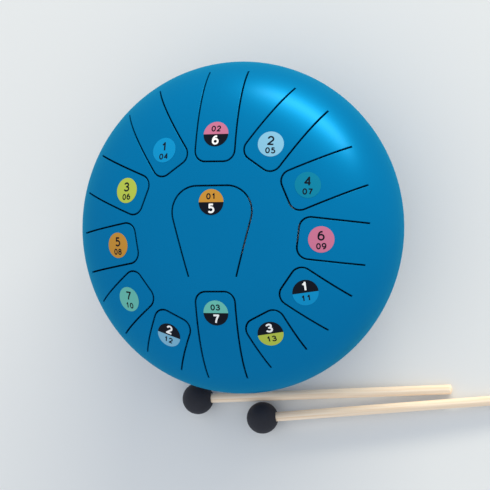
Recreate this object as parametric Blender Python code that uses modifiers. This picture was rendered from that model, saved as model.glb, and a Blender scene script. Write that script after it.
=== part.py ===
"""Steel tongue drum with thirteen tongues, its note labels, its rubber feet and two rubber-headed mallets.

Metres, +Z up. The drum stands on its feet with its axis upright and the first outer tongue towards +Y.
The mallets lie on the same surface beside it, on the -Y side, with their heads towards -X.
The origin is on that surface, under the middle of the whole set's bounding box.
"""

import math

import bmesh
import bpy
from mathutils import Vector

# Shells: both follow z = height * (1 - (r / radius) ** CROWN_POWER) ** (1 / SHOULDER_POWER)
DRUM_RADIUS = 0.150
FACE_HEIGHT = 0.077
BOWL_HEIGHT = 0.080
CROWN_POWER = 2.48
SHOULDER_POWER = 2.08
WALL = 0.002
SOUND_HOLE_RADIUS = 0.035
SHELL_STEPS = 64
FACE_RINGS = 14
BOWL_RINGS = 9

# Seam: the bowl's joggled lip stands inside the face shell, and the face shell's edge seats on its shoulder
SEAM_BAND = 0.001
LIP_HEIGHT = 0.007
LIP_CLEARANCE = 0.0005

# Least gap between pieces that touch on the real drum
SEAT_GAP = 0.0003

# Slots that free the tongues, cut straight down through the face
SLOT_WIDTH = 0.0015
SLOT_CUT_BASE = 0.012
CORNER_STEPS = 5

# Outer tongues, by note: angle clockwise from +Y in degrees, then as shares of the drum's radius the land from
# slot end to rim, the distance of the free end from the axis, and the inset of the label from the free end
TONGUE_WIDTH = 0.24 * DRUM_RADIUS
TONGUE_CORNER = 0.064 * DRUM_RADIUS
OUTER_TONGUES = {
    2: (0.6, 0.082, 0.375, 0.158),
    3: (179.5, 0.113, 0.372, 0.123),
    4: (325.0, 0.087, 0.412, 0.135),
    5: (35.2, 0.100, 0.437, 0.137),
    6: (291.4, 0.103, 0.460, 0.137),
    7: (66.9, 0.120, 0.463, 0.131),
    8: (260.4, 0.110, 0.491, 0.135),
    9: (96.9, 0.138, 0.499, 0.126),
    10: (233.0, 0.102, 0.542, 0.160),
    11: (125.6, 0.145, 0.525, 0.121),
    12: (206.2, 0.115, 0.570, 0.132),
    13: (153.0, 0.143, 0.571, 0.117),
}

# Centre tongue, note 1: it widens from its root on the -Y side to its free end on the +Y side
CENTRE_TONGUE = 1
CENTRE_OFFSET = -0.007 * DRUM_RADIUS
CENTRE_ROOT_Y = -0.287 * DRUM_RADIUS
CENTRE_LENGTH = 0.523 * DRUM_RADIUS
CENTRE_ROOT_WIDTH = 0.289 * DRUM_RADIUS
CENTRE_FREE_WIDTH = 0.577 * DRUM_RADIUS
CENTRE_CORNER = 0.150 * DRUM_RADIUS
CENTRE_LABEL_INSET = 0.095 * DRUM_RADIUS

# Vinyl note labels, one near each tongue's free end
LABEL_RADIUS = 0.0115
LABEL_THICKNESS = 0.0003
LABEL_SIDES = 18

# Rubber feet, glued to the bowl round its sound hole
FLOOR_CLEARANCE = 0.005
FOOT_COUNT = 4
FOOT_FIRST_ANGLE = 45.0
FOOT_CIRCLE = 0.060
FOOT_TOP_RADIUS = 0.011
FOOT_BASE_RADIUS = 0.0095
FOOT_BLANK_HEIGHT = 0.016
FOOT_EDGE = 0.001
FOOT_SIDES = 24

# Mallets: a dowel glued into a rubber ball
HEAD_RADIUS = 0.015
STICK_RADIUS = 0.0045
STICK_END_ROUND = 0.002
MALLET_LENGTH = 0.245
BORE_DEPTH = 0.018
STICK_SIDES = 16
HEAD_SIDES = 20
HEAD_RINGS = 12

# How the mallets lie: the first runs past the rim, the second's head lies beside the first's stick
FIRST_TURN = 3.35
FIRST_RIM_GAP = 0.005
FIRST_HEAD_ALONG = -0.0748
SECOND_TURN = 5.7
SECOND_HEAD_ALONG = 0.0637
SECOND_HEAD_GAP = 0.0007

EQUATOR_Z = FLOOR_CLEARANCE + BOWL_HEIGHT

# Colours, as sRGB hex. The label colours run up the scale from note 1 and repeat at the octave
BLUE_PAINT = 0x006EA6
BLACK_RUBBER = 0x26262A
PALE_WOOD = 0xCFA878
LABEL_COLOURS = (0xC58F38, 0xCF7A9C, 0x6BBFB4, 0x109BD2, 0x8AC8EA, 0xB5C450, 0x0E8AAC)


def clear_scene():
    for old in list(bpy.data.objects):
        bpy.data.objects.remove(old, do_unlink=True)


def new_collection(name):
    made = bpy.data.collections.new(name)
    bpy.context.scene.collection.children.link(made)
    return made


def linear(hex_colour):
    """A linear colour from an sRGB hex value."""
    channels = []
    for shift in (16, 8, 0):
        share = ((hex_colour >> shift) & 255) / 255
        channels.append(share / 12.92 if share <= 0.04045 else ((share + 0.055) / 1.055) ** 2.4)
    return channels


def new_material(name, hex_colour, roughness, metallic=0.0):
    made = bpy.data.materials.new(name)
    colour = linear(hex_colour)
    made.use_nodes = True
    shader = made.node_tree.nodes["Principled BSDF"]
    shader.inputs["Base Color"].default_value = (*colour, 1.0)
    shader.inputs["Roughness"].default_value = roughness
    shader.inputs["Metallic"].default_value = metallic
    made.diffuse_color = (*colour, 1.0)
    return made


def new_empty(name, collection, location):
    made = bpy.data.objects.new(name, None)
    made.empty_display_size = 0.03
    made.location = location
    collection.objects.link(made)
    return made


def new_object(name, mesh, collection, parent):
    made = bpy.data.objects.new(name, mesh)
    made.parent = parent
    collection.objects.link(made)
    return made


def as_cutter(cutter):
    cutter.hide_render = True
    cutter.display_type = "WIRE"
    return cutter


def turned(name, profile, steps, collection, parent):
    """A profile of (radius, z) points, outer side first and top to bottom, turned about its own Z axis."""
    mesh = bpy.data.meshes.new(name)
    points = [(radius, 0.0, z) for radius, z in profile]
    mesh.from_pydata(points, [(i, i + 1) for i in range(len(points) - 1)], [])
    made = new_object(name, mesh, collection, parent)
    screw = made.modifiers.new("Turn", "SCREW")
    screw.steps = steps
    screw.render_steps = steps
    screw.use_merge_vertices = True
    screw.merge_threshold = 0.00001
    screw.use_smooth_shade = True
    return made


def add_wall(shell, thickness):
    wall = shell.modifiers.new("Wall", "SOLIDIFY")
    wall.thickness = thickness
    wall.offset = -1.0
    wall.use_even_offset = True


def cut(target, cutter, name):
    boolean = target.modifiers.new(name, "BOOLEAN")
    boolean.operation = "DIFFERENCE"
    boolean.solver = "EXACT"
    boolean.object = cutter


def shell_curve(height, first, last, rings, grow=0.0):
    """Points (radius, height over the equator) of a shell's outer curve, from one polar angle to another."""
    points = []
    for ring in range(rings + 1):
        angle = first + (last - first) * ring / rings
        radius = (DRUM_RADIUS + grow) * max(math.cos(angle), 0.0) ** (2 / CROWN_POWER)
        z = (height + grow) * math.sin(angle) ** (2 / SHOULDER_POWER)
        points.append((radius, z))
    return points


def shell_height(distance, height):
    """Height of a shell's outer surface over the equator, at a distance from the axis."""
    return height * (1 - (distance / DRUM_RADIUS) ** CROWN_POWER) ** (1 / SHOULDER_POWER)


def shell_radius(z, height):
    """Radius of a shell's outer surface at a height over the equator."""
    return DRUM_RADIUS * (1 - (z / height) ** SHOULDER_POWER) ** (1 / CROWN_POWER)


def polar_angle_at_height(z, height):
    return math.asin((z / height) ** (SHOULDER_POWER / 2))


def polar_angle_at_radius(radius):
    return math.acos((radius / DRUM_RADIUS) ** (CROWN_POWER / 2))


def rounded_path(corners, radius, steps):
    """An open line through the corners, with each inner corner rounded by an arc."""
    path = [corners[0]]
    for before, corner, after in zip(corners, corners[1:], corners[2:]):
        into = (before - corner).normalized()
        out = (after - corner).normalized()
        half = into.angle(out) / 2
        centre = corner + (into + out).normalized() * radius / math.sin(half)
        start = corner + into * radius / math.tan(half) - centre
        sweep = start.angle_signed(corner + out * radius / math.tan(half) - centre)
        for step in range(steps + 1):
            turn = -sweep * step / steps
            spoke = Vector((
                start.x * math.cos(turn) - start.y * math.sin(turn),
                start.x * math.sin(turn) + start.y * math.cos(turn),
            ))
            path.append(centre + spoke)
    path.append(corners[-1])
    return path


def tongue_axes(angle_degrees):
    """Unit vectors out from the drum's axis along a tongue, and across it."""
    angle = math.radians(angle_degrees)
    along = Vector((math.sin(angle), math.cos(angle)))
    return along, Vector((along.y, -along.x))


def outer_tongue_corners(angle_degrees, land, free_end):
    along, across = tongue_axes(angle_degrees)
    root = along * DRUM_RADIUS * (1 - land)
    free = along * DRUM_RADIUS * free_end
    half = across * TONGUE_WIDTH / 2
    return [root + half, free + half, free - half, root - half]


def centre_tongue_corners():
    free_y = CENTRE_ROOT_Y + CENTRE_LENGTH
    root_half = CENTRE_ROOT_WIDTH / 2
    free_half = CENTRE_FREE_WIDTH / 2
    return [
        Vector((CENTRE_OFFSET + root_half, CENTRE_ROOT_Y)),
        Vector((CENTRE_OFFSET + free_half, free_y)),
        Vector((CENTRE_OFFSET - free_half, free_y)),
        Vector((CENTRE_OFFSET - root_half, CENTRE_ROOT_Y)),
    ]


def slot_cutter(name, path, collection, parent):
    """An upright wall along the path, as thick as the slot is wide and taller than the face."""
    mesh = bpy.data.meshes.new(name)
    rig = bmesh.new()
    row = [rig.verts.new((point.x, point.y, SLOT_CUT_BASE)) for point in path]
    edges = [rig.edges.new(pair) for pair in zip(row, row[1:])]
    risen = bmesh.ops.extrude_edge_only(rig, edges=edges)["geom"]
    tops = [part for part in risen if isinstance(part, bmesh.types.BMVert)]
    bmesh.ops.translate(rig, verts=tops, vec=(0.0, 0.0, FACE_HEIGHT))
    rig.to_mesh(mesh)
    rig.free()
    made = as_cutter(new_object(name, mesh, collection, parent))
    thick = made.modifiers.new("Slot width", "SOLIDIFY")
    thick.thickness = SLOT_WIDTH
    thick.offset = 0.0
    thick.use_even_offset = True
    return made


def make_face_shell(parts, cutters, drum, paint):
    curve = shell_curve(FACE_HEIGHT, math.pi / 2, 0.0, FACE_RINGS)
    shell = turned("upper_shell", [*curve, (DRUM_RADIUS, -SEAM_BAND)], SHELL_STEPS, parts, drum)
    shell.data.materials.append(paint)
    add_wall(shell, WALL)
    outlines = {CENTRE_TONGUE: (centre_tongue_corners(), CENTRE_CORNER)}
    for note, (angle, land, free_end, _) in OUTER_TONGUES.items():
        outlines[note] = (outer_tongue_corners(angle, land, free_end), TONGUE_CORNER)
    for note, (corners, corner_radius) in outlines.items():
        path = rounded_path(corners, corner_radius, CORNER_STEPS)
        cut(shell, slot_cutter(f"slot_{note}", path, cutters, drum), f"Slot {note}")


def make_bowl(parts, drum, paint):
    """The lower shell: lip, shoulder and bowl down to the sound hole, in one sheet."""
    lip_radius = shell_radius(LIP_HEIGHT, FACE_HEIGHT) - WALL - LIP_CLEARANCE
    shoulder = -SEAM_BAND - SEAT_GAP
    first = polar_angle_at_height(-shoulder, BOWL_HEIGHT)
    last = polar_angle_at_radius(SOUND_HOLE_RADIUS)
    bowl = [(radius, -z) for radius, z in shell_curve(BOWL_HEIGHT, first, last, BOWL_RINGS)]
    profile = [(lip_radius, LIP_HEIGHT), (lip_radius, shoulder), (DRUM_RADIUS, shoulder), *bowl[1:]]
    shell = turned("lower_shell", profile, SHELL_STEPS, parts, drum)
    shell.data.materials.append(paint)
    add_wall(shell, WALL)


def make_label(note, centre, parts, drum):
    """A disc that follows the crown of the face, just clear of it."""
    mesh = bpy.data.meshes.new(f"note_label_{note}")
    rig = bmesh.new()
    bmesh.ops.create_circle(
        rig, cap_ends=True, cap_tris=True, segments=LABEL_SIDES, radius=LABEL_RADIUS
    )
    spokes = [edge for edge in rig.edges if not edge.is_boundary]
    bmesh.ops.subdivide_edges(rig, edges=spokes, cuts=1)
    middle = shell_height(centre.length, FACE_HEIGHT) + SEAT_GAP
    for vert in rig.verts:
        distance = (centre + vert.co.xy).length
        vert.co.z = shell_height(distance, FACE_HEIGHT) + SEAT_GAP - middle
    bmesh.ops.recalc_face_normals(rig, faces=rig.faces)
    if rig.faces[0].normal.z < 0:
        bmesh.ops.reverse_faces(rig, faces=rig.faces)
    rig.to_mesh(mesh)
    rig.free()
    mesh.shade_smooth()
    label = new_object(mesh.name, mesh, parts, drum)
    label.location = (centre.x, centre.y, middle)
    colour = LABEL_COLOURS[(note - CENTRE_TONGUE) % len(LABEL_COLOURS)]
    label.data.materials.append(new_material(f"label_vinyl_{note}", colour, 0.4))
    sheet = label.modifiers.new("Sheet", "SOLIDIFY")
    sheet.thickness = LABEL_THICKNESS
    sheet.offset = 1.0


def make_labels(parts, drum):
    free_y = CENTRE_ROOT_Y + CENTRE_LENGTH
    centre = Vector((CENTRE_OFFSET, free_y - CENTRE_LABEL_INSET))
    make_label(CENTRE_TONGUE, centre, parts, drum)
    for note, (angle, _, free_end, inset) in OUTER_TONGUES.items():
        along, _ = tongue_axes(angle)
        make_label(note, along * DRUM_RADIUS * (free_end + inset), parts, drum)


def make_feet(parts, cutters, drum):
    """Tapered rubber feet whose tops are hollowed to the bowl that they are glued to."""
    bowl_curve = shell_curve(BOWL_HEIGHT, 0.0, math.pi / 2, 2 * BOWL_RINGS, grow=SEAT_GAP)
    solid = [(0.0, FACE_HEIGHT), (DRUM_RADIUS, FACE_HEIGHT), *((r, -z) for r, z in bowl_curve)]
    bowl_form = as_cutter(turned("bowl_form", solid, SHELL_STEPS, cutters, drum))
    for index in range(FOOT_COUNT):
        angle = math.radians(FOOT_FIRST_ANGLE + 360 * index / FOOT_COUNT)
        mesh = bpy.data.meshes.new(f"rubber_foot_{index + 1}")
        rig = bmesh.new()
        bmesh.ops.create_cone(
            rig,
            cap_ends=True,
            segments=FOOT_SIDES,
            radius1=FOOT_BASE_RADIUS,
            radius2=FOOT_TOP_RADIUS,
            depth=FOOT_BLANK_HEIGHT,
        )
        rig.to_mesh(mesh)
        rig.free()
        foot = new_object(mesh.name, mesh, parts, drum)
        floor_z = -EQUATOR_Z
        foot.location = (
            FOOT_CIRCLE * math.cos(angle),
            FOOT_CIRCLE * math.sin(angle),
            floor_z + FOOT_BLANK_HEIGHT / 2,
        )
        rounding = foot.modifiers.new("Edge", "BEVEL")
        rounding.width = FOOT_EDGE
        rounding.segments = 2
        rounding.limit_method = "ANGLE"
        rounding.angle_limit = math.radians(60)
        cut(foot, bowl_form, "Bowl")
        foot.data.materials.append(new_material(f"foot_rubber_{index + 1}", BLACK_RUBBER, 0.8))


def mallet_lean():
    """Angle by which a stick dips when the ball and the stick's tail both touch the surface."""
    reach = MALLET_LENGTH - STICK_END_ROUND
    return math.asin(HEAD_RADIUS / math.hypot(reach, STICK_RADIUS)) - math.atan2(STICK_RADIUS, reach)


def mallet_places():
    """For each mallet: the point under its ball, seen from the drum's axis, and the way its stick points."""
    first_way = Vector((math.cos(math.radians(FIRST_TURN)), math.sin(math.radians(FIRST_TURN))))
    away = Vector((first_way.y, -first_way.x))
    line = away * (DRUM_RADIUS + FIRST_RIM_GAP + STICK_RADIUS)
    first_head = line + first_way * FIRST_HEAD_ALONG
    beside = away * (STICK_RADIUS + HEAD_RADIUS + SECOND_HEAD_GAP)
    second_head = first_head + first_way * SECOND_HEAD_ALONG + beside
    second_way = Vector((math.cos(math.radians(SECOND_TURN)), math.sin(math.radians(SECOND_TURN))))
    return [(first_head, first_way), (second_head, second_way)]


def make_mallet(number, drum_place, head_place, way, parts, cutters):
    """A mallet whose empty has its Z axis along the stick and its origin at the ball's centre."""
    lean = mallet_lean()
    spot = drum_place + head_place
    mallet = new_empty(f"mallet_{number}", parts, (spot.x, spot.y, HEAD_RADIUS))
    pointing = Vector((way.x * math.cos(lean), way.y * math.cos(lean), -math.sin(lean)))
    mallet.rotation_mode = "QUATERNION"
    mallet.rotation_quaternion = pointing.to_track_quat("Z", "Y")

    mesh = bpy.data.meshes.new(f"mallet_head_{number}")
    rig = bmesh.new()
    bmesh.ops.create_uvsphere(rig, u_segments=HEAD_SIDES, v_segments=HEAD_RINGS, radius=HEAD_RADIUS)
    rig.to_mesh(mesh)
    rig.free()
    mesh.shade_smooth()
    head = new_object(mesh.name, mesh, parts, mallet)
    head.data.materials.append(new_material(f"head_rubber_{number}", BLACK_RUBBER, 0.6))

    stick_start = HEAD_RADIUS - BORE_DEPTH
    bore_radius = STICK_RADIUS + SEAT_GAP
    bore_floor = stick_start - SEAT_GAP
    mouth = 2 * HEAD_RADIUS
    bore = [(0.0, mouth), (bore_radius, mouth), (bore_radius, bore_floor), (0.0, bore_floor)]
    cut(head, as_cutter(turned(f"bore_{number}", bore, STICK_SIDES, cutters, mallet)), "Bore")

    rounding = []
    for step in range(CORNER_STEPS + 1):
        angle = math.pi / 2 * (1 - step / CORNER_STEPS)
        z = MALLET_LENGTH - STICK_END_ROUND * (1 - math.sin(angle))
        rounding.append((STICK_RADIUS * max(math.cos(angle), 0.0), z))
    profile = [*rounding, (STICK_RADIUS, stick_start), (0.0, stick_start)]
    stick = turned(f"mallet_stick_{number}", profile, STICK_SIDES, parts, mallet)
    stick.data.materials.append(new_material(f"stick_wood_{number}", PALE_WOOD, 0.5))


def drum_place(mallets):
    """Where the drum's axis stands, so that the origin is under the middle of the whole set."""
    tail = MALLET_LENGTH * math.cos(mallet_lean())
    right = max(DRUM_RADIUS, *(head.x + way.x * tail for head, way in mallets))
    left = min(-DRUM_RADIUS, *(head.x - HEAD_RADIUS for head, _ in mallets))
    front = min(head.y - HEAD_RADIUS for head, _ in mallets)
    return Vector((-(left + right) / 2, -(front + DRUM_RADIUS) / 2))


def main():
    clear_scene()
    parts = new_collection("tongue_drum")
    cutters = new_collection("cutters")
    mallets = mallet_places()
    place = drum_place(mallets)
    drum = new_empty("drum_axis", parts, (place.x, place.y, EQUATOR_Z))
    make_face_shell(parts, cutters, drum, new_material("face_paint", BLUE_PAINT, 0.4))
    make_bowl(parts, drum, new_material("bowl_paint", BLUE_PAINT, 0.4))
    make_labels(parts, drum)
    make_feet(parts, cutters, drum)
    for number, (head_place, way) in enumerate(mallets, start=1):
        make_mallet(number, place, head_place, way, parts, cutters)


main()
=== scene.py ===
"""Dresses the tongue drum: sprayed steel shells with slotted tongues, printed vinyl labels with plain numbers,
rubber feet, rubber-headed beech mallets, and the stage that they are shown on. Metres, +Z up."""

import math

import bmesh
import bpy
import numpy as np
from mathutils import Matrix, Vector, geometry


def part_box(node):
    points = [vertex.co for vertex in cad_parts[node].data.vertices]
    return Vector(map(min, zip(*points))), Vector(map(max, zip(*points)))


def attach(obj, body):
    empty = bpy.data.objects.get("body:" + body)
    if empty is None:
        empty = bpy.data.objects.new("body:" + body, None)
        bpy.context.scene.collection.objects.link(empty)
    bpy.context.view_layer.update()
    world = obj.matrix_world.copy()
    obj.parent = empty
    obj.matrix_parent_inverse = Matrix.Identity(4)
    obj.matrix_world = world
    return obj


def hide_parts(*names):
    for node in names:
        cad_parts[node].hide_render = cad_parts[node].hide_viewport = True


bl_info = {
    "name": "Tongue drum dresser",
    "version": (1, 0, 0),
    "blender": (4, 5, 0),
    "location": "3D View > Sidebar > Tongue drum",
    "description": "Builds the visible pieces of a steel tongue drum and its mallets round a fixed frame",
    "category": "Object",
}

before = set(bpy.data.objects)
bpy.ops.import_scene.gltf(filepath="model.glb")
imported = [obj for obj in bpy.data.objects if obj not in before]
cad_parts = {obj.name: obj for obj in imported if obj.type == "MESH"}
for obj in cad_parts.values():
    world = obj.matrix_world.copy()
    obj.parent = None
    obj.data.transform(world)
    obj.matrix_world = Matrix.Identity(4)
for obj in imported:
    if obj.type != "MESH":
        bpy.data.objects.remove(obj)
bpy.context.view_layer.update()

# Drum, from the frame: the face shell reaches past its widest place by the seam's band
face_low, face_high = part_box("upper_shell")
DRUM_RADIUS = (face_high.x - face_low.x) / 2
SEAM_BAND = 0.001
AXIS_PLACE = Vector(((face_low.x + face_high.x) / 2, (face_low.y + face_high.y) / 2, face_low.z + SEAM_BAND))
FACE_HEIGHT = face_high.z - AXIS_PLACE.z
FLOOR_CLEARANCE = 0.005
BOWL_HEIGHT = AXIS_PLACE.z - FLOOR_CLEARANCE

# The shells follow z = height * (1 - (r / radius) ** CROWN_POWER) ** (1 / SHOULDER_POWER)
CROWN_POWER = 2.48
SHOULDER_POWER = 2.08
CROWN_INPUTS = {
    "Crown radius": DRUM_RADIUS,
    "Crown height": FACE_HEIGHT,
    "Crown power": CROWN_POWER,
    "Shoulder power": SHOULDER_POWER,
}

# Walls and edges: the bowl's lip stands inside the face shell, and the sheet is rolled in a little at the sound hole,
# by one inset at two heights over the hole's outer edge
WALL = 0.002
SEAM_ROUNDING = 0.0003
SEAM_GAP = 0.00005
LIP_HEIGHT = 0.007
LIP_CLEARANCE = 0.0005
SOUND_HOLE_RADIUS = 0.035
HOLE_ROLL = 0.0004
HOLE_ROLL_LEVELS = (0.0005, 0.0015)

# Outer tongues, by note: angle clockwise from +Y in degrees, then as shares of the drum's radius the land to the
# rim, the free end's distance from the axis and the label's inset, and last the turn of the label in degrees
SLOT_WIDTH = 0.0015
TONGUE_WIDTH = 0.24 * DRUM_RADIUS
TONGUE_CORNER = 0.064 * DRUM_RADIUS
OUTER_TONGUES = {
    2: (0.6, 0.082, 0.375, 0.158, 0.0),
    3: (179.5, 0.113, 0.372, 0.123, 0.0),
    4: (325.0, 0.087, 0.412, 0.135, 0.0),
    5: (35.2, 0.100, 0.437, 0.137, 0.0),
    6: (291.4, 0.103, 0.460, 0.137, 0.0),
    7: (66.9, 0.120, 0.463, 0.131, 0.0),
    8: (260.4, 0.110, 0.491, 0.135, 0.0),
    9: (96.9, 0.138, 0.499, 0.126, 0.0),
    10: (233.0, 0.102, 0.542, 0.160, 0.0),
    11: (125.6, 0.145, 0.525, 0.121, 4.0),
    12: (206.2, 0.115, 0.570, 0.132, -15.0),
    13: (153.0, 0.143, 0.571, 0.117, 5.0),
}
CENTRE_TONGUE = 1
CENTRE_OFFSET = -0.007 * DRUM_RADIUS
CENTRE_ROOT_Y = -0.287 * DRUM_RADIUS
CENTRE_FREE_Y = CENTRE_ROOT_Y + 0.523 * DRUM_RADIUS
CENTRE_ROOT_WIDTH = 0.289 * DRUM_RADIUS
CENTRE_FREE_WIDTH = 0.577 * DRUM_RADIUS
CENTRE_CORNER = 0.150 * DRUM_RADIUS
CENTRE_LABEL_INSET = 0.095 * DRUM_RADIUS

# Meshes of the shells: the face's grid stays clear of the slots' walls and of their middle lines
FACE_SPACING = 0.0034
SLOT_SPACING = 0.0022
OFF_SLOT_WALL = 0.0012
OFF_SLOT_MIDDLE = 0.0022
CENTRE_CORNER_STEPS = 18
TONGUE_CORNER_STEPS = 10
LIP_STEPS = 3
SEAM_STEPS = 3
RIM_SIDES = 256
ARC_STEPS = 400
BOWL_RINGS = 60
BOWL_SIDES = 192
BOWL_SHARP_ANGLE = math.radians(40)

# Labels and the numbers printed on them: the notes' scale degrees from the lowest note up, then the meshes, and by
# the label's style where the middles of the numbers lie over the label's and how wide their pen is for their height
DEGREES = (5, 6, 7, 1, 2, 3, 4)
SLOT_COLOURS = {5: "orange", 6: "pink", 7: "mint", 1: "sky", 2: "pale_blue", 3: "yellow_green", 4: "teal"}
LABEL_LIFT = 0.00004
LABEL_RINGS = 10
LABEL_SIDES = 72
LABEL_SHARP_ANGLE = math.radians(25)
INK_THICKNESS = 0.00004
INK_SINK = 0.00001
SMALL_MIDDLE = {"low": 0.0050, "high": -0.0048, "middle": -0.0057}
LARGE_MIDDLE = {"low": -0.0054, "high": 0.0055, "middle": 0.0031}
LARGE_WEIGHT = {"low": 0.195, "high": 0.195, "middle": 0.175}
SMALL_WEIGHT = 0.20
PEN_RUN = 0.0009
PEN_SIDES = 12
PEN_ARC_DEGREES = 15
LEAST_INK_EDGE = 0.00005

# Feet: turned as a blank whose top is then fitted to the bowl with a thin gap for the glue
FOOT_CIRCLE = 0.060
FOOT_BASE_RADIUS = 0.0095
FOOT_TOP_RADIUS = 0.0107
FOOT_ROUNDING = 0.0012
FOOT_BLANK_HEIGHT = 0.014
FOOT_GAP = 0.0001
FOOT_BASE_RING = 0.6 * FOOT_BASE_RADIUS
FOOT_SIDES = 48
FOOT_TOP_STEPS = 6
FOOT_SIDE_STEPS = 8
FOOT_ROUNDING_STEPS = 5
FOOT_SHARP_ANGLE = math.radians(50)

# Mallets: where each points, in degrees from +X, and how its stick sits in its ball
MALLET_TURNS = {1: 3.35, 2: 5.7}
BORE_DEPTH = 0.018
BORE_CLEARANCE = 0.0001
MOUTH_ROUNDING = 0.0006
STICK_END_GAP = 0.0002
TAIL_ROUNDING = 0.002
MOUTH_STEPS = 4
BALL_RINGS = 48
BALL_SIDES = 96
STICK_RINGS = 40
STICK_SIDES = 40
TAIL_STEPS = 8
MALLET_SHARP_ANGLE = math.radians(60)

# Stage: the camera's place in drum radii and the key's in metres, both from the drum's axis at the seam
CAMERA_PLACE = (2.794, -0.105, 8.618)
SENSOR_WIDTH = 36.0
CLIP_END = 20.0
KEY_PLACE = (2.48, 5.73, 1.95)
KEY_SIZE = (6.0, 0.6)
FLOOR_REACH = 6.0


def linear(hex_colour):
    """A linear colour from an sRGB hex value."""
    channels = []
    for shift in (16, 8, 0):
        share = ((hex_colour >> shift) & 255) / 255
        channels.append(share / 12.92 if share <= 0.04045 else ((share + 0.055) / 1.055) ** 2.4)
    return tuple(channels)


def colour_setting(name, description, hex_colour):
    """A colour property whose default is an sRGB hex value."""
    return bpy.props.FloatVectorProperty(
        name=name, description=description, subtype="COLOR", size=3, min=0.0, max=1.0, default=linear(hex_colour)
    )


def share_setting(name, description, default):
    """A property between none and all."""
    return bpy.props.FloatProperty(name=name, description=description, default=default, min=0.0, max=1.0)


def length_setting(name, description, default):
    """A property for a length in metres."""
    return bpy.props.FloatProperty(name=name, description=description, default=default, unit="LENGTH")


class ShellSettings(bpy.types.PropertyGroup):
    """Finish of the two steel shells and the colour of their feet."""

    paint: colour_setting("Paint", "Colour of the sprayed enamel", 0x0073AA)
    roughness: share_setting("Roughness", "Roughness of the satin enamel", 0.38)
    flake: share_setting("Flake", "Share of metal flakes in the enamel", 0.45)
    lacquer: share_setting("Lacquer", "Share of the clear film's shine over the enamel", 0.07)
    sheen: colour_setting("Sheen", "Tint of the flakes' shine where they are seen edge on", 0x30FFF8)
    peel_size: length_setting("Peel size", "Width of the sprayed enamel's ripples", 0.0022)
    slot_edge: length_setting("Slot edge", "Radius that the paint leaves on a slot's edges", 0.0003)
    feet: colour_setting("Feet", "Colour of the moulded rubber feet", 0x1C1C1E)


class LabelSettings(bpy.types.PropertyGroup):
    """Sizes and inks of the vinyl labels and their numbers."""

    radius: length_setting("Radius", "Radius of a round label", 0.0112)
    thickness: length_setting("Thickness", "Thickness of the vinyl", 0.00015)
    large_digit: length_setting("Large digit", "Height of the scale degree", 0.0083)
    small_digits: length_setting("Small digits", "Height of the tongue's number", 0.0055)
    ink: colour_setting("Dark ink", "Ink of the dark halves and of the dark numbers", 0x070D1B)
    white: colour_setting("White ink", "Ink of the numbers on the dark halves", 0xF0F2F4)
    degree_5: colour_setting("Degree 5", "Label colour of the fifth degree", 0xC08A34)
    degree_6: colour_setting("Degree 6", "Label colour of the sixth degree", 0xBC6C8C)
    degree_7: colour_setting("Degree 7", "Label colour of the seventh degree", 0x66B8AC)
    degree_1: colour_setting("Degree 1", "Label colour of the first degree", 0x0089C2)
    degree_2: colour_setting("Degree 2", "Label colour of the second degree", 0x7AB2D0)
    degree_3: colour_setting("Degree 3", "Label colour of the third degree", 0xAFBE4A)
    degree_4: colour_setting("Degree 4", "Label colour of the fourth degree", 0x00789A)


class MalletSettings(bpy.types.PropertyGroup):
    """Sizes and colours of the mallets."""

    head_radius: length_setting("Head radius", "Radius of the rubber ball", 0.015)
    stick_radius: length_setting("Stick radius", "Radius of the beech dowel", 0.0045)
    length: length_setting("Length", "From the ball's centre to the stick's tail", 0.245)
    rubber: colour_setting("Rubber", "Colour of the moulded balls", 0x2E2F36)
    wood: colour_setting("Beech", "Main colour of the beech", 0xFAE8D2)
    grain: colour_setting("Grain", "Darker colour of the beech's grain", 0xE9C8A4)


class StageSettings(bpy.types.PropertyGroup):
    """Camera, floor and lights."""

    lens: bpy.props.FloatProperty(
        name="Lens", description="Focal length in mm on a 36 mm sensor", default=110.2, min=10.0
    )
    lean: bpy.props.FloatProperty(
        name="Lean",
        description="How far the view leans off the drum's axis towards +X",
        default=math.radians(17.77),
        subtype="ANGLE",
    )
    roll: bpy.props.FloatProperty(
        name="Roll", description="Turn of the view about its own axis", default=math.radians(-0.2), subtype="ANGLE"
    )
    floor: colour_setting("Floor", "Colour of the plain floor", 0xE0E3E6)
    key_power: bpy.props.FloatProperty(
        name="Key power", description="Power of the large low light in watts", default=420.0, min=0.0
    )
    key_colour: colour_setting("Key colour", "Colour of the large low light", 0xFFF5DC)
    sky_colour: colour_setting("Sky colour", "Colour of the even light all round", 0xF7FBFF)
    sky: bpy.props.FloatProperty(
        name="Sky", description="Strength of the even light all round", default=0.87, min=0.0
    )


def settings(name):
    """The scene's values for one of this object's groups of settings."""
    return getattr(bpy.context.scene, name)


def add_node(tree, kind, inputs=None, **options):
    """A node with its options set, and each input given a fixed value, a socket, or the main output of a node."""
    node = tree.nodes.new(kind)
    for option, value in options.items():
        setattr(node, option, value)
    for socket, value in (inputs or {}).items():
        if isinstance(value, bpy.types.Node):
            value = next(output for output in value.outputs if output.enabled)
        if isinstance(value, bpy.types.NodeSocket):
            tree.links.new(value, node.inputs[socket])
        else:
            node.inputs[socket].default_value = value
    return node


# Geometry Nodes


def new_tree(name, sockets):
    """An empty Geometry Nodes tree with a geometry passing through and the named inputs."""
    tree = bpy.data.node_groups.new(name, "GeometryNodeTree")
    tree.is_modifier = True
    tree.interface.new_socket("Geometry", in_out="OUTPUT", socket_type="NodeSocketGeometry")
    tree.interface.new_socket("Geometry", in_out="INPUT", socket_type="NodeSocketGeometry")
    for socket, kind in sockets.items():
        tree.interface.new_socket(socket, in_out="INPUT", socket_type=kind)
    return tree, tree.nodes.new("NodeGroupInput").outputs


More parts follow.
